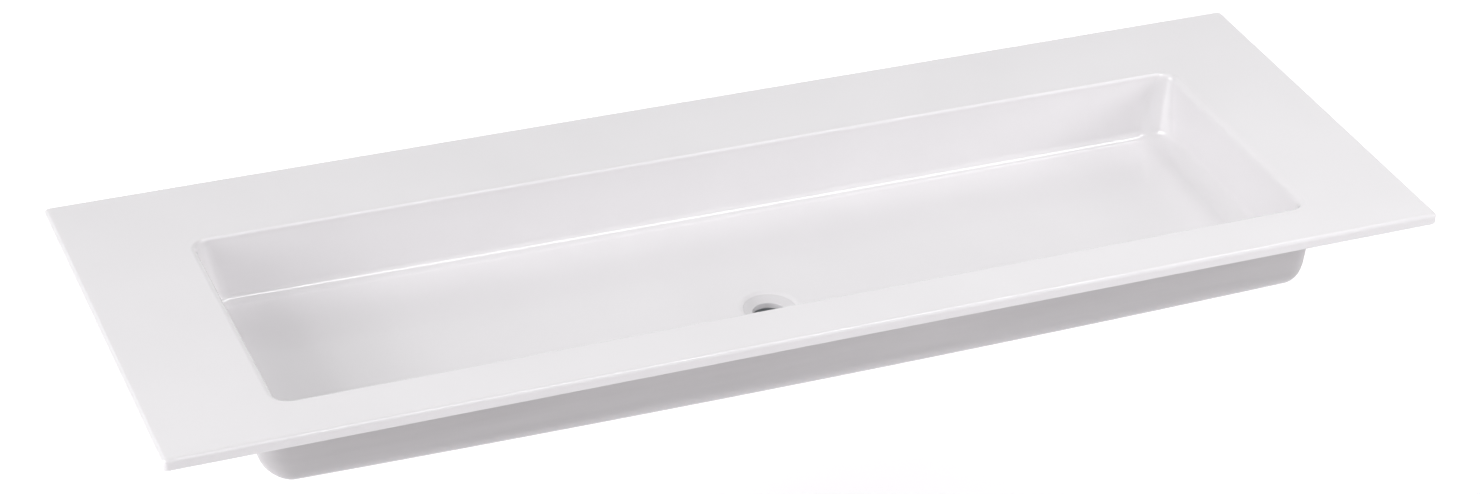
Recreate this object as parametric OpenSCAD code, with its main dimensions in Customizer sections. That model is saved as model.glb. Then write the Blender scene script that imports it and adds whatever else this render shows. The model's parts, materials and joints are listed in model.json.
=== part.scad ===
// Wide furniture washbasin: a glazed ceramic deck and bowl in one casting, with
// an open waste clamped in its outlet, a strainer that lifts out of the waste,
// and the studs that hold the casting to the wall.
// The origin is midway along the deck, where the wall plane, y = 0, meets the
// top of the cabinet, z = 0. The deck lies on the cabinet and the bowl hangs in it.

/* [Deck] */
// Width of the deck
deck_w = 1400; // [1300:10:1600]
// Depth of the deck, from the wall to the front edge
deck_d = 484; // [470:2:560]
// Thickness that shows at the deck's edge
deck_t = 12.5; // [11:0.5:18]
// Plan radius of the deck's four corners
deck_corner_r = 6; // [5.5:0.5:20]
// Round on the deck's upper edge
deck_edge_r = 4.5; // [3:0.5:6]
// Round on the deck's lower edge
deck_under_r = 1.5; // [1:0.5:3]
// Width of the ground rim that beds on the cabinet
bed_rim_w = 24; // [16:1:29]
// Depth of the hollow inside the ground rim
bed_hollow = 4; // [2:0.5:6]

/* [Bowl] */
// Width of the bowl's mouth
bowl_w = 1140; // [1060:10:1180]
// Width of the front rim, from the front edge to the bowl
rim_front = 60; // [50:1:80]
// Width of the rear shelf, from the wall to the bowl
rim_rear = 113; // [100:1:130]
// Depth from the deck's top face to the floor at the back of the bowl
bowl_depth = 80; // [65:1:100]
// Fall of the floor towards the front, in millimetres per metre
floor_fall = 20; // [5:1:30]
// How far each wall leans in, from lip to floor
wall_draft = 4; // [1:0.5:7]
// Plan radius of the bowl's corners at the lip
mouth_corner_r = 18; // [14:1:30]
// Plan radius of the bowl's corners at the floor
floor_corner_r = 32; // [31:1:45]
// Round of the lip along the front and back
lip_long_r = 3.5; // [2:0.5:6]
// Round of the lip along the two ends
lip_end_r = 8; // [6:0.5:9]
// Hollow round between the floor and the long walls
fillet_long_r = 12; // [8:1:18]
// Hollow round between the floor and the end walls
fillet_end_r = 22; // [16:1:30]
// How much lower the floor lies midway along than at its ends
floor_sag = 1.5; // [0.5:0.5:4]
// Thickness of the ceramic along the front and back
wall_t = 12; // [10:0.5:15]
// Thickness of the ceramic at the two ends
end_wall_t = 20; // [14:1:24]
// Thickness of the ceramic floor at the outlet
floor_t = 18; // [16:0.5:22]
// How much lower the underside lies midway along than at its ends
under_sag = 7; // [2:0.5:9]
// Outside round below the front and back walls
outer_long_r = 18; // [12:1:24]
// Outside round below the end walls
outer_end_r = 28; // [20:1:34]
// Round where the bowl's outside meets the underside of the deck
root_r = 6; // [3:0.5:8]

/* [Outlet] */
// Distance of the outlet's axis from the wall
outlet_back = 305; // [285:1:330]
// Diameter of the hole through the ceramic
outlet_hole_d = 46; // [45:0.5:48]
// Round where the floor runs into the outlet's rebate
outlet_edge_r = 2.5; // [1:0.25:3.5]
// Diameter of the ground boss under the outlet
boss_d = 84; // [76:1:100]
// How far the boss stands below the floor's underside
boss_drop = 4; // [3:0.5:10]

/* [Fixing rail] */
// Width of the rail under the rear shelf
rail_w = 1020; // [1000:10:1100]
// Thickness of the rail
rail_t = 16; // [12:1:22]
// Depth of the rail below the deck
rail_h = 57; // [52:1:70]
// Round on the rail's lower edges
rail_round = 4; // [1:0.5:5]
// Distance from the cabinet's top down to the fixing holes
hole_drop = 35; // [26:1:38]
// Spacing of the inner pair of fixing holes
hole_gap_inner = 280; // [200:10:400]
// Distance from each end of the rail to its outer fixing hole
hole_end = 60; // [40:1:120]
// Diameter of a fixing hole
fixing_hole_d = 14; // [13:0.5:18]
// Spacing of the two middle webs behind the bowl
web_gap = 560; // [500:10:600]
// Thickness of the webs that tie the rail to the bowl
web_t = 12; // [8:1:18]

/* [Waste] */
// Diameter of the white cap round the outlet
cap_d = 57; // [56:0.5:58.5]
// Thickness of the cap at its outer edge
cap_t = 5.8; // [5:0.1:7]
// How far the cap's outer edge lies below the floor
cap_sunk = 1.2; // [0.6:0.1:2]
// How far the cap falls from its outer edge to its lip
cap_fall = 3.8; // [3:0.1:4.2]
// Bore of the cap and of the collar below it
throat_d = 36.4; // [35.6:0.1:36.8]
// Thickness of the collar's wall
collar_t = 1.1; // [0.9:0.1:1.2]
// Length of the collar below the cap
collar_len = 5; // [3:0.5:8]
// Outer diameter of the threaded shank, crest to crest
shank_d = 41.9; // [41.5:0.1:42.1]
// Bore of the shank below the strainer
shank_bore_d = 33; // [30:0.5:34]
// Length of the shank below its flange
shank_len = 58; // [50:1:64]
// Width of the groove that ends the trap's thread, below the back nut
relief_w = 2.5; // [2:0.5:4]
// Depth of that groove
relief_depth = 1.3; // [1:0.1:1.5]
// Thickness of the shank's flange
flange_t = 2; // [1.5:0.1:3]
// Thickness of the seal under the flange
flange_seal_t = 1; // [0.8:0.1:2]
// Height of the rubber cone's collar
cone_t = 6; // [4:0.5:9]
// Outer diameter of the rubber cone's collar
cone_d = 64; // [60:0.5:70]
// Thickness of the slip washer
washer_t = 1.5; // [1:0.1:2.5]
// Height of the back nut
nut_h = 10; // [8:0.5:12]
// Size of the back nut across its flats
nut_flats = 54; // [50:0.5:56]

/* [Strainer] */
// Distance from the cap's lip down to the strainer's seat
seat_drop = 19; // [16:0.5:24]
// Height of the strainer's cup
strainer_h = 7; // [5:0.5:9]
// Thickness of the strainer's wall and plate
strainer_t = 1.2; // [0.8:0.1:1.6]
// Diameter of a hole in the strainer
sieve_hole_d = 3.6; // [2.5:0.1:4]
// Diameter of the knob that lifts the strainer
knob_d = 6; // [5:0.5:8]

/* [Wall fixings] */
// Diameter of a stud
stud_d = 10; // [9:0.5:12]
// Length of a stud in the wall
stud_in_wall = 60; // [50:5:90]
// Length of the plain waist of a stud, from the wall's face inwards
waist_len = 6; // [4:1:10]
// Diameter of that waist
waist_d = 8.4; // [7:0.2:9]
// Length of stud that stands out of its nut
stud_spare = 8; // [2:1:16]
// Diameter of a bush's flange, a washer being a little smaller
bush_flange_d = 26; // [24:1:30]
// Thickness of a bush's flange
bush_flange_t = 3; // [2:0.5:4]
// Thickness of a fixing washer
fixing_washer_t = 2; // [1.5:0.5:3]
// Height of a fixing nut
fixing_nut_h = 8; // [6:0.5:10]
// Size of a fixing nut across its flats
fixing_nut_flats = 17; // [16:0.5:20]

/* [Fits] */
// Gap round the cap and the flange in the ceramic's rebate
cap_gap = 0.4; // [0.2:0.1:0.6]
// Gap between the collar and the shank
collar_gap = 0.05; // [0.02:0.01:0.1]
// Gap round the strainer, so that it lifts out through the collar
strainer_gap = 0.4; // [0.2:0.1:0.6]
// Gap between a nut and the crest of its thread
thread_gap = 0.05; // [0.03:0.01:0.1]
// Gap round what passes through a seal, a washer or a bush
ring_gap = 0.25; // [0.1:0.05:0.4]

/* [Hidden] */

glaze_white = "#f4f4f3";
chrome = "#c9cccf";
zinc = "#a9adb0";
rubber = "#2b2b2c";
nylon = "#e4e2da";

corner_steps = 8;   // chords in each plan corner
side_steps = 8;     // chords along the front and along the back
round_steps = 8;    // chords in each long round
edge_steps = 5;     // chords in each short round
round_fn = 96;      // chords in a turned piece, where it is drawn as chords
bite = 1;           // how far joined ceramic forms run into each other
clear = 1;          // how far a cutter runs past what it cuts

// Plan of the bowl's mouth, and the floor's height at a distance y from the wall
mouth_hx = bowl_w / 2;
mouth_back = -rim_rear;
mouth_front = rim_front - deck_d;
fall = floor_fall / 1000;
floor_start = mouth_back - wall_draft - fillet_long_r;
outlet_y = -outlet_back;
floor_z = deck_t - bowl_depth - fall * (floor_start - outlet_y);
bottom_z = floor_z - floor_t;

// Heights of what is stacked in the outlet
cap_rim_z = floor_z - cap_sunk;
cap_lip_z = cap_rim_z - cap_fall;
flange_top_z = cap_rim_z - cap_t;
collar_end_z = flange_top_z - collar_len;
flange_under_z = flange_top_z - flange_t;
seat_z = flange_under_z - flange_seal_t;
boss_z = bottom_z - boss_drop;
slip_z = boss_z - cone_t;
nut_top_z = slip_z - washer_t;
nut_under_z = nut_top_z - nut_h;
relief_z = nut_under_z - 1;
tail_z = flange_under_z - shank_len;
strainer_z = cap_lip_z - seat_drop;

// Diameters of what is stacked in the outlet
rebate_d = cap_d + 2 * cap_gap;
collar_d = throat_d + 2 * collar_t;
socket_d = collar_d + 2 * collar_gap;
strainer_d = throat_d - 2 * strainer_gap;
ring_bore_d = shank_d + 2 * ring_gap;
lip_round = (cap_t - cap_fall) * 0.6;

// How far a quarter round of radius r still stands in at height t above its foot
function hollow(t, r) = t >= r ? 0 : r - sqrt(max(0, 2 * r * t - t * t));
// The draft of the bowl's walls at height z
function lean(z) = wall_draft * min(1, (deck_t - z) / bowl_depth);

// A rectangle of points with rounded corners, whose ring falls to the front by
// tilt and is lower midway along than at its ends by sag
function quarter(x, y, rx, ry, start) =
    [for (i = [0:corner_steps]) let (a = start + 90 * i / corner_steps)
        [x + rx * cos(a), y + ry * sin(a)]];
function across(x, y) = [for (i = [1:side_steps - 1]) [x * (1 - 2 * i / side_steps), y]];
function outline(hx, front, back, rx, ry) = concat(
    quarter(hx - rx, back - ry, rx, ry, 0), across(hx - rx, back),
    quarter(rx - hx, back - ry, rx, ry, 90), quarter(rx - hx, front + ry, rx, ry, 180),
    across(rx - hx, front), quarter(hx - rx, front + ry, rx, ry, 270));
function ring(hx, front, back, rx, ry, z, tilt = 0, sag = 0) =
    [for (p = outline(hx, front, back, rx, ry))
        [p.x, p.y, z + tilt * (p.y - outlet_y) + sag * pow(p.x / mouth_hx, 2)]];

// The inside of the bowl at height t above its floor
function inside_ring(t) =
    let (z = floor_z + t, in = lean(z), low = 1 - t / fillet_end_r,
         ix = hollow(t, fillet_end_r), iy = hollow(t, fillet_long_r))
    ring(mouth_hx - in - ix, mouth_front + in + iy, mouth_back - in - iy,
         floor_corner_r - ix, floor_corner_r - iy, z, fall * low, floor_sag * low);

// The lip of the bowl at a depth below the deck's top face
function lip_ring(depth) =
    let (ox = hollow(depth, lip_end_r), oy = hollow(depth, lip_long_r))
    ring(mouth_hx + ox, mouth_front - oy, mouth_back + oy,
         mouth_corner_r + ox, mouth_corner_r + oy, deck_t - depth);

// The deck's own edge, drawn in by inset at height z
function deck_ring(inset, z) =
    let (r = max(deck_corner_r - inset, 0.5))
    ring(deck_w / 2 - inset, inset - deck_d, -inset, r, r, z);

// The outside of the bowl at height t above its underside
outer_corner_r = max(outer_end_r, outer_long_r) + 2;
root_t = bed_hollow - bottom_z;
function outside_ring(t) =
    let (z = bottom_z + t, out = hollow(root_t - t, root_r) - lean(z),
         low = max(0, 1 - t / outer_end_r),
         ix = hollow(t, outer_end_r), iy = hollow(t, outer_long_r))
    ring(mouth_hx + end_wall_t + out - ix, mouth_front - wall_t - out + iy,
         mouth_back + wall_t + out - iy, outer_corner_r - ix, outer_corner_r - iy, z,
         fall * low, under_sag * low);

// Closes a stack of rings into one solid, its two open ends by strips from front to back
module skin(rings) {
    n = len(rings[0]);
    last = len(rings) - 1;
    strips = [for (i = [0:n / 2 - 2]) [i, i + 1, n - 2 - i, n - 1 - i]];
    sides = [for (i = [0:last - 1], j = [0:n - 1])
        let (a = i * n + j, b = i * n + (j + 1) % n) each [[a, b, b + n], [a, b + n, a + n]]];
    polyhedron(points = [for (r = rings) each r],
        faces = concat([for (s = strips) [s[3], s[2], s[1], s[0]]], sides,
                       [for (s = strips) [for (j = s) last * n + j]]));
}

// Deck and bowl as one skin, from the floor over the lip and deck to the underside
module casting() {
    turn = [for (i = [0:round_steps]) 90 * i / round_steps];
    edge = [for (i = [0:edge_steps]) 90 * i / edge_steps];
    skin(concat(
        [for (a = turn) inside_ring(fillet_end_r * (1 - cos(a)))],
        [for (a = turn) lip_ring(lip_end_r * (1 - sin(a)))],
        [for (a = edge) deck_ring(deck_edge_r * (1 - sin(a)), deck_t - deck_edge_r * (1 - cos(a)))],
        [for (a = [0, 45, 90]) deck_ring(deck_under_r * (1 - cos(a)), deck_under_r * (1 - sin(a)))],
        [deck_ring(bed_rim_w, 0), deck_ring(bed_rim_w + bed_hollow, bed_hollow)],
        [for (a = [90, 60, 30, 0]) outside_ring(root_t - root_r * (1 - sin(a)))],
        [for (a = turn) outside_ring(outer_end_r * (1 - sin(a)))]));
}

module at_outlet() {
    translate([0, outlet_y, 0]) children();
}

module outlet_boss() {
    at_outlet() translate([0, 0, boss_z])
        cylinder(d1 = boss_d - boss_drop, d2 = boss_d + floor_t, h = boss_drop + floor_t / 2,
                 $fn = round_fn);
}

// The rebate for the cap and its flange, with a soft edge, and the hole below it
module outlet_cutter() {
    r = rebate_d / 2;
    edge = [for (i = [0:edge_steps]) let (a = 90 * i / edge_steps)
        [r + outlet_edge_r * (1 - sin(a)), floor_z - outlet_edge_r * (1 - cos(a))]];
    top = floor_z + clear + fall * r;
    at_outlet() rotate_extrude($fn = round_fn) polygon(concat(
        [[0, top], [r + outlet_edge_r, top]], edge, [[r, seat_z], [0, seat_z]]));
    at_outlet() translate([0, 0, boss_z - clear])
        cylinder(d = outlet_hole_d, h = seat_z - boss_z + 2 * clear, $fn = round_fn);
}

// Where the studs go, for the holes and for what is clamped in them
module at_studs() {
    for (gap = [hole_gap_inner, rail_w - 2 * hole_end], side = [-1, 1])
        translate([side * gap / 2, 0, -hole_drop]) rotate([90, 0, 0]) children();
}

// The rail under the rear shelf, tied to the back of the bowl by four webs
module fixing_rail() {
    top = bed_hollow + bite;
    web_end = mouth_back + wall_t / 2;
    translate([-rail_w / 2, 0, 0]) rotate([90, 0, 90]) linear_extrude(rail_w) {
        translate([-rail_t, rail_round - rail_h]) square([rail_t, rail_h - rail_round + top]);
        translate([rail_round - rail_t, -rail_h]) square([rail_t - 2 * rail_round, rail_h]);
        for (y = [rail_round - rail_t, -rail_round])
            translate([y, rail_round - rail_h]) circle(r = rail_round, $fn = 32);
    }
    for (x = [rail_w / 2 - web_t / 2, web_gap / 2], side = [-1, 1])
        translate([side * x + web_t / 2, 0, 0]) rotate([0, -90, 0]) linear_extrude(web_t)
            polygon([[top, bite - rail_t], [web_t / 2 - rail_h, bite - rail_t],
                     [web_t * 2 - rail_h, web_end], [top, web_end]]);
}

module basin() {
    color(glaze_white) difference() {
        union() {
            casting();
            outlet_boss();
            fixing_rail();
        }
        outlet_cutter();
        at_studs() translate([0, 0, -clear])
            cylinder(d = fixing_hole_d, h = rail_t + 2 * clear, $fn = 48);
    }
}

// A turned white cap, whose funnel face leads the water into its collar
module waste_cap() {
    lip_r = throat_d / 2 + lip_round;
    rim_r = cap_d / 2;
    lip = [for (i = [0:edge_steps]) let (a = 90 * i / edge_steps)
        [lip_r - lip_round * sin(a), cap_lip_z - lip_round * (1 - cos(a))]];
    color(glaze_white) at_outlet() rotate_extrude($fn = round_fn) polygon(concat(
        [[rim_r, cap_rim_z - 0.5], [rim_r - 0.5, cap_rim_z]], lip,
        [[throat_d / 2, collar_end_z], [collar_d / 2, collar_end_z],
         [collar_d / 2, flange_top_z], [rim_r, flange_top_z]]));
}

// Flange, socket for the collar, ledge for the strainer, and shank. The groove
// parts the thread that the back nut takes from the one that the trap takes.
module waste_body() {
    color(chrome) at_outlet() rotate_extrude($fn = round_fn) polygon([
        [socket_d / 2, flange_top_z], [cap_d / 2, flange_top_z],
        [cap_d / 2, flange_under_z], [shank_d / 2, flange_under_z], [shank_d / 2, relief_z],
        [shank_d / 2 - relief_depth, relief_z], [shank_d / 2 - relief_depth, relief_z - relief_w],
        [shank_d / 2, relief_z - relief_w],
        [shank_d / 2, tail_z + 1], [shank_d / 2 - 1, tail_z], [shank_bore_d / 2, tail_z],
        [shank_bore_d / 2, strainer_z], [throat_d / 2, strainer_z],
        [throat_d / 2, collar_end_z], [socket_d / 2, collar_end_z]]);
}

module turned_ring(d, bore, low, high) {
    at_outlet() translate([0, 0, low]) difference() {
        cylinder(d = d, h = high - low, $fn = round_fn);
        translate([0, 0, -clear]) cylinder(d = bore, h = high - low + 2 * clear, $fn = round_fn);
    }
}

module flange_seal() {
    color(rubber) turned_ring(cap_d, ring_bore_d, seat_z, flange_under_z);
}

// A rubber ring whose cone centres the shank in the hole through the ceramic
module cone_seal() {
    foot_r = outlet_hole_d / 2 - 0.1;
    cone_h = (seat_z - boss_z) / 2;
    color(rubber) at_outlet() rotate_extrude($fn = round_fn) polygon([
        [ring_bore_d / 2, slip_z], [cone_d / 2, slip_z], [cone_d / 2, boss_z - 1],
        [cone_d / 2 - 1, boss_z], [foot_r, boss_z],
        [ring_bore_d / 2 + 0.8, boss_z + cone_h], [ring_bore_d / 2, boss_z + cone_h]]);
}

module slip_washer() {
    color(nylon) turned_ring(cone_d - 2, ring_bore_d, nut_top_z, slip_z);
}

// A hexagon with its corners turned off at both faces
module hexagon_nut(flats, bore, h) {
    corner_r = flats / 2 / cos(30);
    bevel = (corner_r - flats / 2) / 2;
    difference() {
        intersection() {
            cylinder(r = corner_r, h = h, $fn = 6);
            rotate_extrude($fn = round_fn) polygon([[0, 0], [corner_r - bevel, 0], [corner_r, bevel],
                [corner_r, h - bevel], [corner_r - bevel, h], [0, h]]);
        }
        translate([0, 0, -clear]) cylinder(d = bore, h = h + 2 * clear, $fn = round_fn);
    }
}

module back_nut() {
    color(chrome) at_outlet() translate([0, 0, nut_under_z])
        hexagon_nut(nut_flats, shank_d + 2 * thread_gap, nut_h);
}

// A shallow cup with rings of holes, and a knob to lift it by
module strainer() {
    r = strainer_d / 2;
    knob_r = knob_d / 2;
    stem_top = strainer_h - knob_r;
    color(chrome) at_outlet() translate([0, 0, strainer_z]) union() {
        difference() {
            rotate_extrude($fn = round_fn) polygon([[0, 0], [r - 0.4, 0], [r, 0.4],
                [r, strainer_h], [r - strainer_t, strainer_h], [r - strainer_t, strainer_t],
                [0, strainer_t]]);
            for (ring = [1, 2], i = [0:6 * ring - 1])
                rotate([0, 0, i * 60 / ring]) translate([0.1 * r + 0.32 * r * ring, 0, -clear])
                    cylinder(d = sieve_hole_d, h = strainer_t + 2 * clear, $fn = 24);
        }
        rotate_extrude($fn = 48) polygon(concat(
            [[0, strainer_t / 2], [knob_r / 2, strainer_t / 2]],
            [for (a = [-60:15:90]) [knob_r * cos(a), stem_top + knob_r * sin(a)]]));
    }
}

// Lengths of a stud's parts, counted from the wall into the room
bush_z = rail_t + bush_flange_t;
fixing_nut_z = bush_z + fixing_washer_t;
stud_end = fixing_nut_z + fixing_nut_h + stud_spare;

module fixing_studs() {
    point = stud_d * 1.2;
    color(zinc) at_studs() {
        translate([0, 0, -stud_in_wall]) cylinder(d1 = 1, d2 = stud_d, h = point, $fn = 48);
        translate([0, 0, point - stud_in_wall])
            cylinder(d = stud_d, h = stud_in_wall - point - waist_len, $fn = 48);
        translate([0, 0, -waist_len]) cylinder(d = waist_d, h = waist_len, $fn = 48);
        cylinder(d = stud_d, h = stud_end, $fn = 48);
    }
}

module fixing_bushes() {
    bore = stud_d + 2 * ring_gap;
    color(nylon) at_studs() rotate_extrude($fn = 48) polygon([
        [bore / 2, 0], [fixing_hole_d / 2 - ring_gap, 0],
        [fixing_hole_d / 2 - ring_gap, rail_t], [bush_flange_d / 2, rail_t],
        [bush_flange_d / 2, bush_z], [bore / 2, bush_z]]);
}

module fixing_washers() {
    color(zinc) at_studs() translate([0, 0, bush_z]) difference() {
        cylinder(d = bush_flange_d - 2, h = fixing_washer_t, $fn = 48);
        translate([0, 0, -clear])
            cylinder(d = stud_d + 2 * ring_gap, h = fixing_washer_t + 2 * clear, $fn = 48);
    }
}

module fixing_nuts() {
    color(zinc) at_studs() translate([0, 0, fixing_nut_z])
        hexagon_nut(fixing_nut_flats, stud_d + 2 * thread_gap, fixing_nut_h);
}

basin();
waste_cap();
waste_body();
flange_seal();
strainer();
cone_seal();
slip_washer();
back_nut();
fixing_studs();
fixing_bushes();
fixing_washers();
fixing_nuts();
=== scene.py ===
# Wide furniture washbasin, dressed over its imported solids. All lengths in the
# dictionaries are millimetres, everything in Blender is metres.
import json
import math

import bmesh
import bpy
from mathutils import Matrix, Vector


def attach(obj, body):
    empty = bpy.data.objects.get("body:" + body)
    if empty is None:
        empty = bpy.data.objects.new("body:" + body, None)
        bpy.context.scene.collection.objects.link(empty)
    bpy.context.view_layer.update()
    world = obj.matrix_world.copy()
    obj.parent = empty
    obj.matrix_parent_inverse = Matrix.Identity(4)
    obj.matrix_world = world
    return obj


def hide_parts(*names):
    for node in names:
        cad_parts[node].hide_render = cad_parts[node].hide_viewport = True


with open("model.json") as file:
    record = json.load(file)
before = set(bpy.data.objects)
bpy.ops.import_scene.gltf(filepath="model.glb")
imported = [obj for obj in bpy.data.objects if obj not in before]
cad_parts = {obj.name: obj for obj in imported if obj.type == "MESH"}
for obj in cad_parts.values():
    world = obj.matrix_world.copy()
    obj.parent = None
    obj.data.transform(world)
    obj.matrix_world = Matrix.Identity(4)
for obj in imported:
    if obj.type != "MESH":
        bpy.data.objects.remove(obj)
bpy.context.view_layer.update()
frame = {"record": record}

mm = 0.001
bodies = frame["record"]["behaviour"]["bodies"]
mainBody = next(name for name, nodes in bodies.items() if "basin" in nodes)
strainerBody = next(name for name, nodes in bodies.items() if "strainer" in nodes)


# Small helpers for meshes

def quarterTurns(steps):
    return [math.pi / 2 * i / steps for i in range(steps + 1)]


def hollow(height, radius):
    # how far a quarter round still stands in at a height above its foot
    if height >= radius:
        return 0
    return radius - math.sqrt(max(0, 2 * radius * height - height * height))


def meshFromRings(name, rings, closed=True, capped=False):
    # every ring has the same number of points, and neighbours are joined by quads
    mesh = bmesh.new()
    rows = [[mesh.verts.new(Vector(p) * mm) for p in ring] for ring in rings]
    count = len(rows[0])
    pairs = list(zip(rows, rows[1:] + rows[:1])) if closed else list(zip(rows, rows[1:]))
    for low, high in pairs:
        for i in range(count):
            j = (i + 1) % count
            mesh.faces.new((low[i], low[j], high[j], high[i])).smooth = True
    if capped:
        mesh.faces.new(rows[0])
        mesh.faces.new(rows[-1])
    bmesh.ops.recalc_face_normals(mesh, faces=mesh.faces[:])
    data = bpy.data.meshes.new(name)
    mesh.to_mesh(data)
    mesh.free()
    piece = bpy.data.objects.new(name, data)
    bpy.context.scene.collection.objects.link(piece)
    return piece


def circle(radius, z, centre=(0, 0), segments=96):
    return [(centre[0] + radius * math.cos(2 * math.pi * i / segments),
             centre[1] + radius * math.sin(2 * math.pi * i / segments), z) for i in range(segments)]


def turned(name, profile, centre=(0, 0), segments=96, closed=True):
    rings = [circle(r, z, centre, segments) for r, z in profile]
    return meshFromRings(name, rings, closed, capped=not closed)


def runModifier(piece, kind, **settings):
    modifier = piece.modifiers.new(kind.lower(), kind)
    for key, value in settings.items():
        setattr(modifier, key, value)
    bpy.context.view_layer.update()
    graph = bpy.context.evaluated_depsgraph_get()
    result = bpy.data.meshes.new_from_object(piece.evaluated_get(graph), depsgraph=graph)
    piece.modifiers.clear()
    old = piece.data
    piece.data = result
    bpy.data.meshes.remove(old)


def combine(piece, other, operation):
    runModifier(piece, "BOOLEAN", object=other, operation=operation, solver="EXACT")
    bpy.data.objects.remove(other)


def joined(copies):
    # one mesh from several, kept in the first object
    mesh = bmesh.new()
    for copy in copies:
        mesh.from_mesh(copy.data)
    mesh.to_mesh(copies[0].data)
    mesh.free()
    for copy in copies[1:]:
        bpy.data.objects.remove(copy)
    return copies[0]


def weldSlivers(piece, distance=0.002):
    # booleans leave edges of no length where faces nearly meet
    mesh = bmesh.new()
    mesh.from_mesh(piece.data)
    bmesh.ops.remove_doubles(mesh, verts=mesh.verts[:], dist=distance * mm)
    bmesh.ops.dissolve_degenerate(mesh, edges=mesh.edges[:], dist=distance * mm)
    mesh.to_mesh(piece.data)
    mesh.free()


def crispEdges(piece, degrees=32):
    # smooth shading that stops at real edges, with flat faces kept flat
    for polygon in piece.data.polygons:
        polygon.use_smooth = True
    piece.data.set_sharp_from_angle(angle=math.radians(degrees))
    runModifier(piece, "WEIGHTED_NORMAL", keep_sharp=True, weight=80)


def dress(piece, node, body, *materials):
    # the piece stands for its CAD node and rides with that node's body
    for material in materials:
        piece.data.materials.append(material)
    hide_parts(node)
    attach(piece, body)
    return piece


# Small helpers for materials

def fromHex(code):
    # sRGB hex to linear, with alpha
    values = [int(code[i:i + 2], 16) / 255 for i in (1, 3, 5)]
    return tuple(v / 12.92 if v <= 0.04045 else ((v + 0.055) / 1.055) ** 2.4 for v in values) + (1,)


def addNode(tree, kind, settings=None, links=None):
    # settings are attributes or input values, links go from an input to an output socket
    node = tree.nodes.new(kind)
    for key, value in (settings or {}).items():
        if isinstance(key, str) and hasattr(node, key):
            setattr(node, key, value)
        else:
            node.inputs[key].default_value = value
    for key, socket in (links or {}).items():
        tree.links.new(socket, node.inputs[key])
    return node


def newMaterial(name):
    material = bpy.data.materials.new(name)
    material.use_nodes = True
    tree = material.node_tree
    tree.nodes.clear()
    coordinates = addNode(tree, "ShaderNodeTexCoord").outputs["Object"]
    return material, tree, coordinates


def finishMaterial(tree, shader):
    addNode(tree, "ShaderNodeOutputMaterial", links={"Surface": shader.outputs[0]})


def noiseOf(tree, coordinates, sizeInMm, detail=2, stretch=(1, 1, 1)):
    # a noise whose blotches are about sizeInMm across
    mapping = addNode(tree, "ShaderNodeMapping", {"Scale": stretch}, {"Vector": coordinates})
    return addNode(tree, "ShaderNodeTexNoise", {"Scale": 1000 / sizeInMm, "Detail": detail},
                   {"Vector": mapping.outputs[0]}).outputs["Fac"]


def mixColours(tree, factor, low, high):
    ramp = addNode(tree, "ShaderNodeValToRGB", links={"Fac": factor})
    ramp.color_ramp.elements[0].position = 0.3
    ramp.color_ramp.elements[1].position = 0.7
    ramp.color_ramp.elements[0].color = fromHex(low)
    ramp.color_ramp.elements[1].color = fromHex(high)
    return ramp.outputs["Color"]


def rangeOf(tree, factor, low, high):
    return addNode(tree, "ShaderNodeMapRange", {"To Min": low, "To Max": high},
                   {"Value": factor}).outputs[0]


# Glazed vitreous china: slip cast, sprayed with white glaze and fired. The glaze
# levels like thick paint, so reflections are sharp but waver slightly.
def glazedVitreousChina(name, low, high, roughness):
    material, tree, place = newMaterial(name)
    ripple = noiseOf(tree, place, 38, detail=1)
    orangePeel = noiseOf(tree, place, 5, detail=2)
    tone = noiseOf(tree, place, 160, detail=2)
    slow = addNode(tree, "ShaderNodeBump", {"Strength": 0.10, "Distance": 0.0009}, {"Height": ripple})
    fine = addNode(tree, "ShaderNodeBump", {"Strength": 0.03, "Distance": 0.0002},
                   {"Height": orangePeel, "Normal": slow.outputs[0]})
    shader = addNode(tree, "ShaderNodeBsdfPrincipled", {"IOR": 1.52},
                     {"Base Color": mixColours(tree, tone, low, high),
                      "Roughness": rangeOf(tree, orangePeel, roughness * 0.85, roughness * 1.15),
                      "Normal": fine.outputs[0]})
    finishMaterial(tree, shader)
    return material


# The underside is coloured darker than the deck's glaze as painted shade under the deck. Its one thin coat
# of glaze leaves the face only half glossy, with faint streaks from the spray.
def undersidePaintedShade():
    material, tree, place = newMaterial("undersidePaintedShade")
    streaks = noiseOf(tree, place, 60, detail=4, stretch=(0.25, 1, 3))
    grain = noiseOf(tree, place, 2.5, detail=3)
    bump = addNode(tree, "ShaderNodeBump", {"Strength": 0.15, "Distance": 0.0003}, {"Height": grain})
    shader = addNode(tree, "ShaderNodeBsdfPrincipled", {"IOR": 1.48},
                     {"Base Color": mixColours(tree, streaks, "#C8C6C8", "#D0CED0"),
                      "Roughness": rangeOf(tree, grain, 0.34, 0.48), "Normal": bump.outputs[0]})
    finishMaterial(tree, shader)
    return material


# Unglazed biscuit: the ground rim and boss, where the fired clay is bare. Dull,
# slightly warm and finely gritty.
def groundBiscuit():
    material, tree, place = newMaterial("groundBiscuit")
    grit = noiseOf(tree, place, 0.9, detail=4)
    tone = noiseOf(tree, place, 40, detail=3)
    bump = addNode(tree, "ShaderNodeBump", {"Strength": 0.35, "Distance": 0.0004}, {"Height": grit})
    shader = addNode(tree, "ShaderNodeBsdfPrincipled", {"IOR": 1.5},
                     {"Base Color": mixColours(tree, tone, "#DCD6CA", "#E9E5DB"),
                      "Roughness": rangeOf(tree, grit, 0.7, 0.9), "Normal": bump.outputs[0]})
    finishMaterial(tree, shader)
    return material
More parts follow.
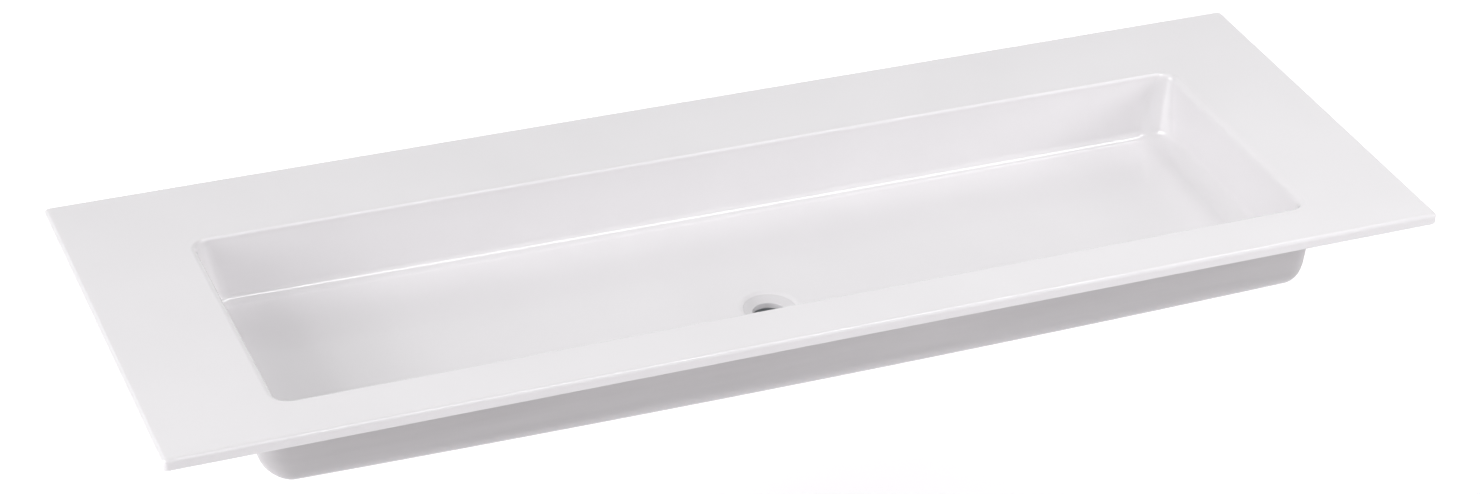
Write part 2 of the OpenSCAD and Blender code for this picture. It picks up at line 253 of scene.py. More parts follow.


# Metals: turned, pressed or plated. Tool marks run round the part, and they are
# drawn coarser than the real ones so that they show. Plating hardly reaches the
# waste's bore, so it stays dull there; its darker colour is painted shade deep in the throat.
def metal(name, low, high, roughness, markInMm, stretch=(1, 1, 12), markDepth=0.00008):
    material, tree, place = newMaterial(name)
    marks = noiseOf(tree, place, markInMm, detail=3, stretch=stretch)
    cloud = noiseOf(tree, place, 14, detail=2)
    bump = addNode(tree, "ShaderNodeBump", {"Strength": 0.2, "Distance": markDepth}, {"Height": marks})
    shader = addNode(tree, "ShaderNodeBsdfPrincipled", {"Metallic": 1.0},
                     {"Base Color": mixColours(tree, cloud, low, high),
                      "Roughness": rangeOf(tree, marks, roughness * 0.7, roughness * 1.3),
                      "Normal": bump.outputs[0]})
    finishMaterial(tree, shader)
    return material


# Moulded plastics and rubber: a fine skin from the mould, no grain direction.
def moulded(name, low, high, roughness, grainInMm, grainDepth):
    material, tree, place = newMaterial(name)
    grain = noiseOf(tree, place, grainInMm, detail=3)
    cloud = noiseOf(tree, place, 20, detail=2)
    bump = addNode(tree, "ShaderNodeBump", {"Strength": 0.4, "Distance": grainDepth}, {"Height": grain})
    shader = addNode(tree, "ShaderNodeBsdfPrincipled", {"IOR": 1.5},
                     {"Base Color": mixColours(tree, cloud, low, high),
                      "Roughness": rangeOf(tree, grain, roughness * 0.85, roughness * 1.1),
                      "Normal": bump.outputs[0]})
    finishMaterial(tree, shader)
    return material


print("materials")
china = glazedVitreousChina("glazedVitreousChina", "#EBE9EB", "#EEECEE", 0.07)
capGlaze = glazedVitreousChina("glazedCapChina", "#DFDDDF", "#E2E0E2", 0.09)
biscuit = groundBiscuit()
shadedUnderGlaze = undersidePaintedShade()
chromedBrass = metal("chromePlatedBrass", "#D2D5D8", "#DADCDE", 0.09, 0.6)
throatShadeBrass = metal("dullBorePaintedShade", "#A2A4A7", "#AEB0B3", 0.42, 0.6)
stainless = metal("pressedStainlessSteel", "#BFC1C3", "#CACCCE", 0.22, 0.5)
nutBrass = metal("machinedBrass", "#C9A45C", "#D6B36C", 0.28, 0.5)
zincPlate = metal("zincPlatedSteel", "#B4B8BC", "#C6C9CC", 0.32, 0.8, stretch=(1, 1, 1))
sealRubber = moulded("mouldedEpdmRubber", "#1E1E1F", "#27272A", 0.62, 0.5, 0.00008)
naturalNylon = moulded("mouldedNaturalNylon", "#E1DDD0", "#EAE7DC", 0.42, 0.8, 0.00005)

# The casting. These sizes are the ones that the solids were built from.
casting = {
    "deckWidth": 1400, "deckDepth": 484, "deckThickness": 12.5,
    "deckCornerRadius": 6, "deckEdgeRadius": 4.5, "underEdgeRadius": 1.5,
    "groundRimWidth": 24, "hollowUnderDeck": 4,
    "bowlWidth": 1140, "frontRim": 60, "rearShelf": 113, "bowlDepth": 80,
    "floorFallPerMetre": 20, "wallDraft": 4, "mouthCornerRadius": 18, "floorCornerRadius": 32,
    "longLipRadius": 3.5, "endLipRadius": 8, "longFilletRadius": 12, "endFilletRadius": 22,
    "floorSag": 1.5, "wallThickness": 12, "endWallThickness": 20, "floorThickness": 18,
    "undersideSag": 7, "outerLongRadius": 18, "outerEndRadius": 28, "rootRadius": 6,
}
outlet = {
    "fromWall": 305, "holeDiameter": 46, "rebateDiameter": 57.1, "curveRadius": 15,
    "bossDiameter": 84, "bossDrop": 4, "bossFootSpread": 6,
    "capSunk": 1.2, "capThickness": 5.8, "flangeThickness": 2, "sealThickness": 1,
}
rail = {
    "width": 1020, "thickness": 16, "height": 57, "holeDrop": 35, "holeDiameter": 14,
    "holeGaps": (280, 900), "webGap": 560, "webThickness": 12, "edgeRound": 3.5, "overlap": 3,
}

halfMouth = casting["bowlWidth"] / 2
mouthBack = -casting["rearShelf"]
mouthFront = casting["frontRim"] - casting["deckDepth"]
deckTop = casting["deckThickness"]
fall = casting["floorFallPerMetre"] / 1000
outletY = -outlet["fromWall"]
floorStart = mouthBack - casting["wallDraft"] - casting["longFilletRadius"]
floorZ = deckTop - casting["bowlDepth"] - fall * (floorStart - outletY)
bottomZ = floorZ - casting["floorThickness"]
capStack = ("capSunk", "capThickness", "flangeThickness", "sealThickness")
seatZ = floorZ - sum(outlet[key] for key in capStack)
bossZ = bottomZ - outlet["bossDrop"]

cornerSteps = 14      # quads in each plan corner
longSteps = 96        # quads along the front and back
endSteps = 26         # quads along each end
roundSteps = 14       # quads across a round
curveSteps = 10       # quads down the outlet's long curve


def roundedOutline(halfWidth, front, back, rx, ry):
    # an even walk round a rectangle with rounded corners
    points = []
    centres = [(halfWidth - rx, back - ry), (rx - halfWidth, back - ry),
               (rx - halfWidth, front + ry), (halfWidth - rx, front + ry)]
    runs = [longSteps, endSteps, longSteps, endSteps]
    for index, (x, y) in enumerate(centres):
        start = index * math.pi / 2
        for turn in quarterTurns(cornerSteps):
            points.append((x + rx * math.cos(start + turn), y + ry * math.sin(start + turn)))
        nextX, nextY = centres[(index + 1) % 4]
        nextStart = start + math.pi / 2
        end = (nextX + rx * math.cos(nextStart), nextY + ry * math.sin(nextStart))
        last = points[-1]
        for step in range(1, runs[index]):
            share = step / runs[index]
            points.append((last[0] + (end[0] - last[0]) * share, last[1] + (end[1] - last[1]) * share))
    return points


def castingRing(halfWidth, front, back, rx, ry, z, tilt=0, sag=0):
    return [(x, y, z + tilt * (y - outletY) + sag * (x / halfMouth) ** 2)
            for x, y in roundedOutline(halfWidth, front, back, rx, ry)]


def leanAt(z):
    return casting["wallDraft"] * min(1, (deckTop - z) / casting["bowlDepth"])


def insideRing(height):
    z = floorZ + height
    lean = leanAt(z)
    ix = hollow(height, casting["endFilletRadius"])
    iy = hollow(height, casting["longFilletRadius"])
    radius = casting["floorCornerRadius"]
    low = 1 - height / casting["endFilletRadius"]
    return castingRing(halfMouth - lean - ix, mouthFront + lean + iy, mouthBack - lean - iy,
                       radius - ix, radius - iy, z, fall * low, casting["floorSag"] * low)


def lipRing(depth):
    ox = hollow(depth, casting["endLipRadius"])
    oy = hollow(depth, casting["longLipRadius"])
    radius = casting["mouthCornerRadius"]
    return castingRing(halfMouth + ox, mouthFront - oy, mouthBack + oy, radius + ox, radius + oy,
                       deckTop - depth)


def deckRing(inset, z):
    radius = max(casting["deckCornerRadius"] - inset, 0.5)
    return castingRing(casting["deckWidth"] / 2 - inset, inset - casting["deckDepth"], -inset,
                       radius, radius, z)


rootHeight = casting["hollowUnderDeck"] - bottomZ


def outsideRing(height):
    z = bottomZ + height
    out = hollow(rootHeight - height, casting["rootRadius"]) - leanAt(z)
    outX = casting["endWallThickness"] + out
    outY = casting["wallThickness"] + out
    ix = hollow(height, casting["outerEndRadius"])
    iy = hollow(height, casting["outerLongRadius"])
    radius = casting["outerEndRadius"] + 2
    low = max(0, 1 - height / casting["outerEndRadius"])
    return castingRing(halfMouth + outX - ix, mouthFront - outY + iy, mouthBack + outY - iy,
                       radius - ix, radius - iy, z, fall * low, casting["undersideSag"] * low)


def onFloor(ring):
    # the floor and the underside fall to the front and from both ends to the middle
    return [(x, y, floorZ + fall * (y - outletY) + casting["floorSag"] * (x / halfMouth) ** 2)
            for x, y, z in ring]


def onUnderside(ring):
    return [(x, y, bottomZ + fall * (y - outletY) + casting["undersideSag"] * (x / halfMouth) ** 2)
            for x, y, z in ring]


floorAngles = [math.atan2(y - outletY, x) for x, y, z in insideRing(0)]


def outletRing(radius, z, tilt=0):
    # points on a circle round the outlet, each on the line to its point of the floor's outline
    return [(radius * math.cos(a), outletY + radius * math.sin(a), z + tilt * radius * math.sin(a))
            for a in floorAngles]


def between(first, second, share):
    return [tuple(a + (b - a) * share for a, b in zip(p, q)) for p, q in zip(first, second)]


def buildCasting():
    size = casting
    turns = quarterTurns(roundSteps)
    rings = []
    # inside of the bowl, from the floor's outline up and over the lip
    rings += [insideRing(size["endFilletRadius"] * (1 - math.cos(a))) for a in turns]
    lipFoot = lipRing(size["endLipRadius"])
    rings += [between(rings[-1], lipFoot, share) for share in (0.33, 0.67)]
    rings += [lipRing(size["endLipRadius"] * (1 - math.sin(a))) for a in turns]
    # deck, its edge and the ground rim below
    edge = size["deckEdgeRadius"]
    rim = deckRing(edge, deckTop)
    rings += [between(rings[-1], rim, share) for share in (0.04, 0.5, 0.96)]
    rings += [deckRing(edge * (1 - math.sin(a)), deckTop - edge * (1 - math.cos(a)))
              for a in quarterTurns(8)]
    under = size["underEdgeRadius"]
    rings += [deckRing(under * (1 - math.cos(a)), under * (1 - math.sin(a)))
              for a in quarterTurns(4)]
    groundStart = len(rings) - 1
    rings += [deckRing(size["groundRimWidth"], 0)]
    groundEnd = len(rings) - 1
    rings += [deckRing(size["groundRimWidth"] + size["hollowUnderDeck"], size["hollowUnderDeck"])]
    # outside of the bowl, from the root under the deck down to the underside
    outsideStart = len(rings) - 1
    root = size["rootRadius"]
    rings += [outsideRing(rootHeight - root * (1 - math.sin(a)))
              for a in reversed(quarterTurns(6))]
    rings += [outsideRing(size["outerEndRadius"] * (1 - math.sin(a))) for a in turns]
    # underside to the boss round the outlet
    outline = rings[-1]
    rootR = outlet["bossDiameter"] / 2
    bossFoot = onUnderside(outletRing(rootR + outlet["bossFootSpread"], bottomZ))
    rings += [onUnderside(between(outline, bossFoot, share))
              for share in (0.15, 0.3, 0.45, 0.6, 0.75, 0.9)]
    bossR = (outlet["bossDiameter"] - outlet["bossDrop"]) / 2
    rings += [bossFoot, outletRing(rootR + 2.6, bottomZ - 0.8, fall * 0.5),
              outletRing(bossR + 1.2, bossZ + 1.6), outletRing(bossR, bossZ + 0.5),
              outletRing(bossR - 1, bossZ)]
    bossRow = len(rings) - 1
    holeR = outlet["holeDiameter"] / 2
    rings += [outletRing(holeR, bossZ)]
    bossEnd = len(rings) - 1
    rings += [outletRing(holeR, seatZ)]
    # rebate for the cap, and the long curve that leads the floor down to the cap's rim
    rebateR = outlet["rebateDiameter"] / 2
    rings += [outletRing(rebateR, seatZ)]
    curve = outlet["curveRadius"]
    steepest = math.acos(1 - outlet["capSunk"] / curve)
    for step in range(curveSteps + 1):
        share = step / curveSteps
        a = steepest * (1 - share)
        rings.append(outletRing(rebateR + curve * (math.sin(steepest) - math.sin(a)),
                                floorZ - curve * (1 - math.cos(a)), fall * share))
    rings += [onFloor(between(rings[-1], insideRing(0), share))
              for share in (0.1, 0.25, 0.4, 0.55, 0.7, 0.85)]
    piece = meshFromRings("ceramicBasin", rings)
    for polygon in piece.data.polygons:
        row = polygon.index // len(rings[0])
        if groundStart <= row < groundEnd or bossRow <= row < bossEnd:
            polygon.material_index = 1
        elif outsideStart <= row < bossRow:
            # the outside of the bowl takes the darker underside colour, painted shade under the deck
            polygon.material_index = 2
    return piece


def roundedBlock(name, outline, thickness, radius, axis):
    # a flat outline made thick along X or Y, with all its edges rounded
    mesh = bmesh.new()
    lift = Vector((thickness, 0, 0)) if axis == "x" else Vector((0, thickness, 0))
    low = [mesh.verts.new(Vector(p) * mm) for p in outline]
    high = [mesh.verts.new((Vector(p) + lift) * mm) for p in outline]
    mesh.faces.new(low)
    mesh.faces.new(list(reversed(high)))
    for i in range(len(outline)):
        j = (i + 1) % len(outline)
        mesh.faces.new((low[i], high[i], high[j], low[j]))
    bmesh.ops.recalc_face_normals(mesh, faces=mesh.faces[:])
    bmesh.ops.bevel(mesh, geom=mesh.edges[:], offset=radius * mm, segments=4, profile=0.5,
                    affect="EDGES")
    data = bpy.data.meshes.new(name)
    mesh.to_mesh(data)
    mesh.free()
    block = bpy.data.objects.new(name, data)
    bpy.context.scene.collection.objects.link(block)
    return block


def fixingRail():
    # the rail under the rear shelf and the four webs that tie it to the bowl
    halfWidth = rail["width"] / 2
    top = casting["hollowUnderDeck"] + rail["overlap"]
    bottom = -rail["height"]
    front = -rail["thickness"]
    face = [(-halfWidth, front, bottom), (halfWidth, front, bottom),
            (halfWidth, front, top), (-halfWidth, front, top)]
    blocks = [roundedBlock("railBlock", face, rail["thickness"], rail["edgeRound"], "y")]
    web = rail["webThickness"]
    webStart = front + rail["overlap"]
    webEnd = mouthBack + casting["wallThickness"] / 2
    for x in (halfWidth - web / 2, rail["webGap"] / 2):
        for side in (-1, 1):
            left = side * x - web / 2
            outline = [(left, webStart, top), (left, webStart, bottom + web / 2),
                       (left, webEnd, bottom + web * 2), (left, webEnd, top)]
            blocks.append(roundedBlock("webBlock", outline, web, rail["edgeRound"], "x"))
    return blocks


def fixingHoles():
    holes = []
    for gap in rail["holeGaps"]:
        for side in (-1, 1):
            rings = [[(side * gap / 2 + x, y, z - rail["holeDrop"])
                      for x, z, flat in circle(rail["holeDiameter"] / 2, 0, segments=48)]
                     for y in (2, -rail["thickness"] - 2)]
            holes.append(meshFromRings("holeCutter", rings, closed=False, capped=True))
    return holes


print("casting")
basin = buildCasting()
railBlocks = fixingRail()
for part in [basin] + railBlocks:
    for material in (china, biscuit, shadedUnderGlaze):
        part.data.materials.append(material)
for block in railBlocks:
    for polygon in block.data.polygons:
        # the rail and webs take the darker underside colour too, painted shade under the deck
        polygon.material_index = 2
    combine(basin, block, "UNION")
for hole in fixingHoles():
    combine(basin, hole, "DIFFERENCE")
weldSlivers(basin)
crispEdges(basin)
dress(basin, "basin", mainBody)

# The waste: white cap, chromed body with its thread, strainer, seals and back nut
waste = {
    "capDiameter": 57, "capRimRound": 0.2, "capFall": 3.8, "capDish": 0.25,
    "throatDiameter": 36.4, "collarWall": 1.1, "collarLength": 5,
    "shankDiameter": 41.9, "shankBore": 33, "shankLength": 58,
    "threadPitch": 2.309, "threadDepth": 1.3, "grooveWidth": 2.5, "grooveDepth": 1.3,
    "coneHeight": 6, "coneDiameter": 64, "washerThickness": 1.5, "nutHeight": 10, "nutFlats": 54,
    "ringGap": 0.25, "collarGap": 0.05, "threadGap": 0.05,
}
capRimZ = floorZ - outlet["capSunk"]
capLipZ = capRimZ - waste["capFall"]
flangeTopZ = capRimZ - outlet["capThickness"]
collarEndZ = flangeTopZ - waste["collarLength"]
flangeUnderZ = flangeTopZ - outlet["flangeThickness"]
slipZ = bossZ - waste["coneHeight"]
nutTopZ = slipZ - waste["washerThickness"]
tailZ = flangeUnderZ - waste["shankLength"]
throatR = waste["throatDiameter"] / 2
ringBoreR = waste["shankDiameter"] / 2 + waste["ringGap"]
atOutlet = (0, outletY)


def arc(centreR, centreZ, radius, first, last, steps=8):
    angles = [math.radians(first + (last - first) * i / steps) for i in range(steps + 1)]
    return [(centreR + radius * math.cos(a), centreZ + radius * math.sin(a)) for a in angles]


def wasteCap():
    rimR = waste["capDiameter"] / 2
    lipRound = (outlet["capThickness"] - waste["capFall"]) * 0.6
    collarR = throatR + waste["collarWall"]
    rimRound = waste["capRimRound"]
    profile = arc(rimR - rimRound, capRimZ - rimRound, rimRound, 0, 67)
    # the funnel is slightly dished between the rim and the lip
    lip = (throatR + lipRound, capLipZ)
    for share in (0.25, 0.5, 0.75):
        dish = waste["capDish"] * math.sin(math.pi * share)
        reach = lip[0] - rimR + rimRound
        profile.append((rimR - rimRound + reach * share,
                        capRimZ + (capLipZ - capRimZ) * share - dish))
    profile += arc(lip[0], capLipZ - lipRound, lipRound, 90, 180)
    profile += [(throatR, collarEndZ + 0.2), (throatR + 0.2, collarEndZ), (collarR, collarEndZ),
                (collarR, flangeTopZ), (rimR - 0.3, flangeTopZ), (rimR, flangeTopZ + 0.3)]
    return turned("wasteCap", profile, atOutlet, 144)


def threadRings(crestR, depth, pitch, low, high, centre, segments, rowsPerPitch=6, fade=1.0):
    # a single-start helix: the radius follows the height and the angle together
    rows = max(2, int((high - low) / pitch * rowsPerPitch))
    rings = []
    for row in range(rows + 1):
        z = low + (high - low) * row / rows
        fadeIn = min(1, (z - low) / (pitch * fade), (high - z) / (pitch * fade))
        ring = []
        for i in range(segments):
            angle = 2 * math.pi * i / segments
            phase = (z / pitch - i / segments) % 1
            ridge = abs(2 * phase - 1)
            radius = crestR - depth * fadeIn * (1 - ridge)
            ring.append((centre[0] + radius * math.cos(angle),
                         centre[1] + radius * math.sin(angle), z))
        rings.append(ring)
    return rings


def wasteBody():
    shankR = waste["shankDiameter"] / 2
    socketR = throatR + waste["collarWall"] + waste["collarGap"]
    flangeR = waste["capDiameter"] / 2
    seat = capLipZ - strainerSize["seatDrop"]
    bore = waste["shankBore"] / 2
    boreRows = 3          # from the tail up to the throat
    tailRows = 2
    profile = [
        (bore, tailZ + 0.4), (bore, seat), (throatR, seat), (throatR, collarEndZ), (socketR, collarEndZ),
        (socketR, flangeTopZ), (flangeR - 0.3, flangeTopZ), (flangeR, flangeTopZ - 0.3),
        (flangeR, flangeUnderZ + 0.3), (flangeR - 0.3, flangeUnderZ), (shankR + 0.2, flangeUnderZ),
        (shankR, flangeUnderZ - 0.3)]
    rings = [circle(r, z, atOutlet) for r, z in profile]
    # the back nut's thread, a groove, and the trap's thread
    grooveTop = nutTopZ - waste["nutHeight"] - 1
    grooveFoot = grooveTop - waste["grooveWidth"]
    for low, high in ((grooveTop, flangeUnderZ - 6), (tailZ + 1, grooveFoot)):
        rings += reversed(threadRings(shankR, waste["threadDepth"], waste["threadPitch"],
                                      low, high, atOutlet, 96))
        if low == grooveTop:
            rings += [circle(shankR - waste["grooveDepth"], z, atOutlet)
                      for z in (grooveTop - 0.6, grooveFoot + 0.6)]
    rings += [circle(shankR - 1.2, tailZ, atOutlet), circle(bore + 0.4, tailZ, atOutlet)]
    piece = meshFromRings("wasteBody", rings)
    for polygon in piece.data.polygons:
        row = polygon.index // len(rings[0])
        if row < boreRows or row >= len(rings) - tailRows:
            # the bore and the tail's cut end take the darker metal; in the bore its colour is painted shade
            polygon.material_index = 1
    return piece


def flatRing(name, outerR, boreR, low, high, edge):
    corners = [(outerR - edge, high - edge), (boreR + edge, high - edge),
               (boreR + edge, low + edge), (outerR - edge, low + edge)]
    profile = []
    for index, (r, z) in enumerate(corners):
        profile += arc(r, z, edge, 90 * index, 90 * index + 90, 4)
    return turned(name, profile, atOutlet)


def coneSeal():
    footR = outlet["holeDiameter"] / 2 - 0.1
    coneTop = bossZ + (seatZ - bossZ) / 2
    outerR = waste["coneDiameter"] / 2
    profile = [(ringBoreR, slipZ + 0.4), (ringBoreR + 0.4, slipZ)]
    profile += arc(outerR - 0.8, slipZ + 0.8, 0.8, 270, 360, 4)
    # two shallow grip grooves round the collar, as moulded cones have
    for level in (0.35, 0.65):
        z = slipZ + waste["coneHeight"] * level
        profile += [(outerR, z - 0.5), (outerR - 0.4, z), (outerR, z + 0.5)]
    profile += arc(outerR - 0.9, bossZ - 0.9, 0.9, 0, 90, 4)
    profile += [(footR, bossZ), (ringBoreR + 0.8, coneTop), (ringBoreR + 0.2, coneTop),
                (ringBoreR, coneTop - 0.3)]
    return turned("coneSeal", profile, atOutlet)


def hexagonRing(flats, maxR, z, segments):
    # a hexagon clipped by a circle, which is how a turned chamfer meets the flats
    ring = []
    for i in range(segments):
        angle = 2 * math.pi * i / segments
        fromFlat = (angle % (math.pi / 3)) - math.pi / 6
        radius = min(flats / 2 / math.cos(fromFlat), maxR)
        ring.append((radius * math.cos(angle), radius * math.sin(angle), z))
    return ring


def hexagonNutRings(flats, boreR, low, high, segments=96):
    cornerR = flats / 2 / math.cos(math.pi / 6)
    bevel = (cornerR - flats / 2) / 2
    faceR = flats / 2 - bevel
    chamfer = min(0.6, boreR * 0.06)

    def level(radius, z):
        return circle(radius, z, segments=segments)

    rings = [level(boreR, low + chamfer), level(boreR + chamfer, low), level(faceR, low)]
    for share in (0, 0.35, 0.7, 1):
        rings.append(hexagonRing(flats, cornerR - bevel * (1 - share), low + bevel * share, segments))
    for share in (1, 0.7, 0.35, 0):
        rings.append(hexagonRing(flats, cornerR - bevel * (1 - share), high - bevel * share, segments))
    rings += [level(faceR, high), level(boreR + chamfer, high), level(boreR, high - chamfer)]
    return rings


def moveRings(rings, shift):
    return [[tuple(a + b for a, b in zip(point, shift)) for point in ring] for ring in rings]


strainerSize = {
    "seatDrop": 19, "height": 7, "sheet": 1.2, "gap": 0.4, "knob": 6,
    "holeDiameter": 3.6, "holeRows": 2, "holesInFirstRow": 6, "rowStart": 0.1, "rowStep": 0.32,
}


def strainerCup():
    outerR = throatR - strainerSize["gap"]
    innerR = outerR - strainerSize["sheet"]
    low = capLipZ - strainerSize["seatDrop"]
    high = low + strainerSize["height"]
    plate = low + strainerSize["sheet"]
    knobR = strainerSize["knob"] / 2
    knobZ = high - knobR
    profile = [(0.05, low), (outerR - 0.8, low)] + arc(outerR - 0.6, low + 0.6, 0.6, 290, 360, 4)
    profile += arc(outerR - 0.4, high - 0.4, 0.4, 0, 90, 4)
    profile += arc(innerR + 0.4, high - 0.4, 0.4, 90, 180, 4)
    profile += arc(innerR - 0.6, plate + 0.6, 0.6, 360, 270, 4)
    profile += [(knobR / 2 + 0.5, plate), (knobR / 2, plate + 0.4)]
    profile += arc(0, knobZ, knobR, -58, 88, 14)
    cup = turned("strainerCup", profile, atOutlet, 96, closed=False)
    # rows of holes, each as many times the first row's number as it is rows out
    cutters = []
    r = strainerSize["holeDiameter"] / 2
    for row in range(1, strainerSize["holeRows"] + 1):
        holes = strainerSize["holesInFirstRow"] * row
        reach = strainerSize["rowStart"] * outerR + strainerSize["rowStep"] * outerR * row
        for i in range(holes):
            angle = math.radians(i * 360 / holes)
            place = (reach * math.cos(angle), outletY + reach * math.sin(angle))
            walls = [(r, low - 1), (r, plate + 1)]
            cutters.append(turned("sieveCutter", walls, place, 24, closed=False))
    combine(cup, joined(cutters), "DIFFERENCE")
    return cup


print("waste")
for maker, node, materials in [(wasteCap, "waste_cap", [capGlaze]),
                               (wasteBody, "waste_body", [chromedBrass, throatShadeBrass]),
                               (coneSeal, "cone_seal", [sealRubber])]:
    piece = maker()
    for material in materials:
        piece.data.materials.append(material)
    crispEdges(piece)
    dress(piece, node, mainBody)
washerR = waste["coneDiameter"] / 2 - 1
for name, node, outerR, low, high, edge, material in [
        ("flangeSeal", "flange_seal", waste["capDiameter"] / 2, seatZ, flangeUnderZ, 0.2, sealRubber),
        ("slipWasher", "slip_washer", washerR, nutTopZ, slipZ, 0.3, naturalNylon)]:
    piece = flatRing(name, outerR, ringBoreR, low, high, edge)
    crispEdges(piece)
    dress(piece, node, mainBody, material)
nutRings = hexagonNutRings(waste["nutFlats"], waste["shankDiameter"] / 2 + waste["threadGap"],
                           nutTopZ - waste["nutHeight"], nutTopZ)
backNut = meshFromRings("backNut", moveRings(nutRings, (0, outletY, 0)))
crispEdges(backNut, 24)
dress(backNut, "back_nut", mainBody, nutBrass)
strainer = strainerCup()
weldSlivers(strainer)
crispEdges(strainer)
dress(strainer, "strainer", strainerBody, stainless)

# The wall fixings: hanger studs, nylon bushes, washers and nuts, four of each
fixing = {
    "studDiameter": 10, "inWall": 60, "spare": 8, "bushFlange": 26, "bushFlangeThickness": 3,
    "washerThickness": 2, "nutHeight": 8, "nutFlats": 17, "woodPitch": 3.6, "woodDepth": 1.3,
    "metricPitch": 1.5, "metricDepth": 0.75, "gap": 0.25, "threadGap": 0.05,
    "waistLength": 6, "waistDiameter": 8.4, "pointLength": 10,
}
bushEnd = rail["thickness"] + fixing["bushFlangeThickness"]
nutStart = bushEnd + fixing["washerThickness"]
studEnd = nutStart + fixing["nutHeight"] + fixing["spare"]


def studRings():
    # wood thread with a point in the wall, plain waist, machine thread in the room
    r = fixing["studDiameter"] / 2
    tip = -fixing["inWall"]
    waist = fixing["waistLength"]
    long = fixing["pointLength"]
    wood = threadRings(r, fixing["woodDepth"], fixing["woodPitch"], tip + long, -waist - 1,
                       (0, 0), 36, 8, 0.6)
    point = []
    for share in (0.02, 0.25, 0.5, 0.75):
        pointR = 0.5 + (r - fixing["woodDepth"] - 0.5) * share
        point.append(circle(pointR, tip + long * share, segments=36))
    plain = [circle(fixing["waistDiameter"] / 2, z, segments=36) for z in (-waist, -0.4)]
    metric = threadRings(r, fixing["metricDepth"], fixing["metricPitch"], 0.4, studEnd - 1,
                         (0, 0), 36, 5)
    end = [circle(r - 0.9, studEnd, segments=36)]
    return point + wood + plain + metric + end


def bushRings():
    boreR = fixing["studDiameter"] / 2 + fixing["gap"]
    sleeveR = rail["holeDiameter"] / 2 - fixing["gap"]
    flangeR = fixing["bushFlange"] / 2
    profile = [(boreR, 0.2), (boreR + 0.2, 0), (sleeveR - 0.3, 0), (sleeveR, 0.3),
               (sleeveR, rail["thickness"]), (flangeR, rail["thickness"])]
    profile += arc(flangeR - 1, bushEnd - 1, 1, 0, 90, 5) + [(boreR + 0.2, bushEnd), (boreR, bushEnd - 0.2)]
    return [circle(r, z, segments=64) for r, z in profile]


def washerRings():
    boreR = fixing["studDiameter"] / 2 + fixing["gap"]
    outerR = fixing["bushFlange"] / 2 - 1
    profile = [(boreR, bushEnd + 0.2), (boreR + 0.2, bushEnd), (outerR - 0.1, bushEnd),
               (outerR, bushEnd + 0.1), (outerR, nutStart - 0.5), (outerR - 0.5, nutStart),
               (boreR + 0.2, nutStart), (boreR, nutStart - 0.2)]
    return [circle(r, z, segments=64) for r, z in profile]


def repeatAtStuds(name, rings, closed=True):
    # one mesh with a copy at each fixing hole, its length turned from Z to -Y
    copies = []
    for gap in rail["holeGaps"]:
        for side in (-1, 1):
            placed = [[(side * gap / 2 + x, -z, y - rail["holeDrop"]) for x, y, z in ring]
                      for ring in rings]
            copies.append(meshFromRings(name, placed, closed, capped=not closed))
    return joined(copies)


print("wall fixings")
nutBoreR = fixing["studDiameter"] / 2 + fixing["threadGap"]
fixingNutRings = hexagonNutRings(fixing["nutFlats"], nutBoreR, nutStart,
                                 nutStart + fixing["nutHeight"], 72)
for name, node, rings, closed, material in [
        ("fixingStuds", "fixing_studs", studRings(), False, zincPlate),
        ("fixingBushes", "fixing_bushes", bushRings(), True, naturalNylon),
        ("fixingWashers", "fixing_washers", washerRings(), True, zincPlate),
        ("fixingNuts", "fixing_nuts", fixingNutRings, True, zincPlate)]:
    piece = repeatAtStuds(name, rings, closed)
    crispEdges(piece, 24)
    dress(piece, node, mainBody, material)

# Floor, lights and camera
studio = {
    "floorHeight": -850, "floorColour": "#F2F0F2", "floorGlow": 0.31,
    "worldColour": "#FFFDFF", "worldStrength": 0.11,
    "photoSize": (1480, 494), "focalPixels": 3615.34, "sensorWidth": 36,
    "cameraPlace": (-1336.94, -3227.09, 2000.66),
    "azimuth": -23.9638, "elevation": 31.8723, "roll": 2.7965,
}
# place and target in metres, width, height, watts
softboxes = {
    "overheadStrip": ((0.75, -1.25, 2.0), (0, -0.25, 0), 2.6, 0.42, 31),
    "leftKey": ((-2.6, -1.5, 1.9), (0.1, -0.3, 0), 2.0, 1.6, 12),
    "leftBank": ((-3.2, -0.4, 1.5), (0.2, -0.25, 0), 2.0, 1.4, 37),
    "leftLow": ((-3.2, -0.7, 0.8), (0.2, -0.25, 0), 1.8, 1.0, 31),
    "rightFill": ((2.6, -1.8, 0.9), (0.3, -0.4, 0), 1.6, 1.0, 21),
    "frontRight": ((1.6, -2.8, 1.3), (0.4, -0.2, 0), 2.4, 1.6, 11),
    "backWall": ((0.6, 3.2, 1.7), (0.1, -0.25, 0), 8.0, 3.2, 62),
    "floorWash": ((1.1, 1.9, 0.3), (1.1, 1.9, -0.85), 5.4, 1.8, 26),
}


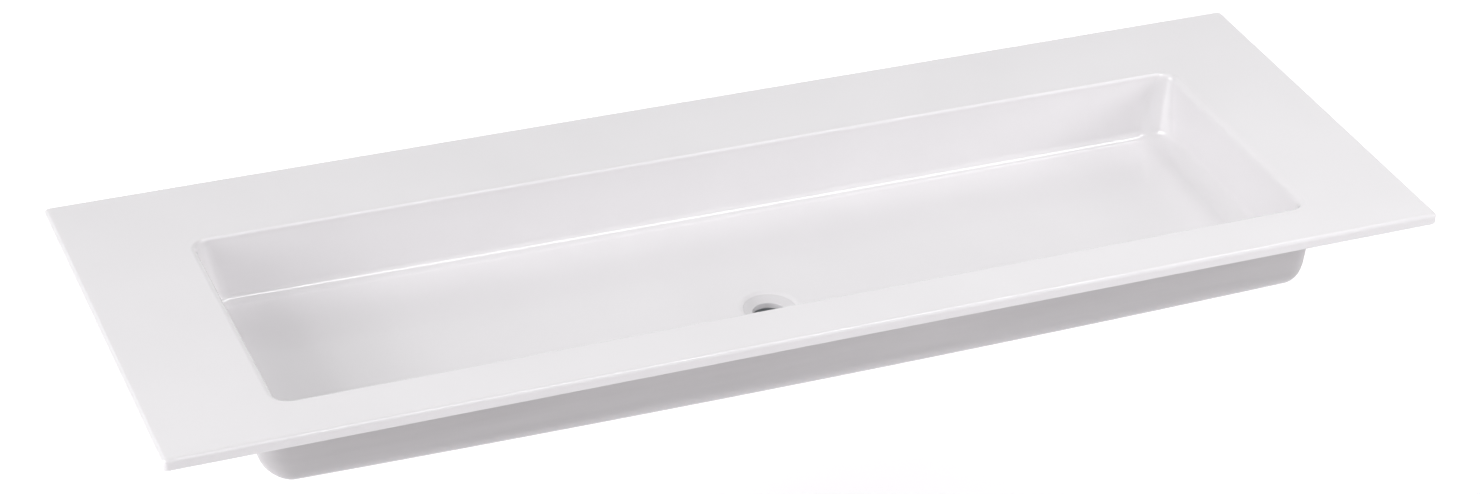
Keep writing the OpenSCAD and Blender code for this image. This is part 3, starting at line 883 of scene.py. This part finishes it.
def paleFloor():
    bpy.ops.mesh.primitive_plane_add(size=24, location=(0, 0, studio["floorHeight"] * mm))
    floor = bpy.context.object
    floor.name = "paleFloor"
    material = bpy.data.materials.new("paleFloorPaint")
    material.use_nodes = True
    shader = material.node_tree.nodes["Principled BSDF"]
    shader.inputs["Base Color"].default_value = fromHex(studio["floorColour"])
    shader.inputs["Roughness"].default_value = 0.9
    shader.inputs["Specular IOR Level"].default_value = 0.1
    shader.inputs["Emission Color"].default_value = fromHex(studio["floorColour"])
    shader.inputs["Emission Strength"].default_value = studio["floorGlow"]
    floor.data.materials.append(material)


def softbox(name, place, target, width, height, power, colour="#FFFFFF"):
    light = bpy.data.lights.new(name, "AREA")
    light.shape = "RECTANGLE"
    light.size = width
    light.size_y = height
    light.energy = power
    light.color = fromHex(colour)[:3]
    lamp = bpy.data.objects.new(name, light)
    bpy.context.scene.collection.objects.link(lamp)
    lamp.location = place
    lamp.rotation_euler = (Vector(target) - Vector(place)).to_track_quat("-Z", "Y").to_euler()
    return lamp


def photoCamera():
    az, el, roll = (math.radians(studio[key]) for key in ("azimuth", "elevation", "roll"))
    back = Vector((math.sin(az) * math.cos(el), -math.cos(az) * math.cos(el), math.sin(el)))
    right = Vector((math.cos(az), math.sin(az), 0))
    up = back.cross(right)
    rolledRight = math.cos(roll) * right + math.sin(roll) * up
    rolledUp = math.cos(roll) * up - math.sin(roll) * right
    camera = bpy.data.objects.new("photoCamera", bpy.data.cameras.new("photoCamera"))
    bpy.context.scene.collection.objects.link(camera)
    axes = Matrix((rolledRight, rolledUp, back)).transposed().to_4x4()
    camera.matrix_world = Matrix.Translation(Vector(studio["cameraPlace"]) * mm) @ axes
    camera.data.sensor_fit = "HORIZONTAL"
    camera.data.sensor_width = studio["sensorWidth"]
    camera.data.lens = studio["focalPixels"] * studio["sensorWidth"] / studio["photoSize"][0]
    camera.data.clip_end = 100
    bpy.context.scene.camera = camera


print("studio")
paleFloor()
world = bpy.data.worlds.new("softWhiteRoom")
world.use_nodes = True
background = world.node_tree.nodes["Background"]
background.inputs["Color"].default_value = fromHex(studio["worldColour"])
background.inputs["Strength"].default_value = studio["worldStrength"]
bpy.context.scene.world = world
for name, values in softboxes.items():
    softbox(name, *values)
photoCamera()
bpy.context.scene.view_settings.view_transform = "Standard"
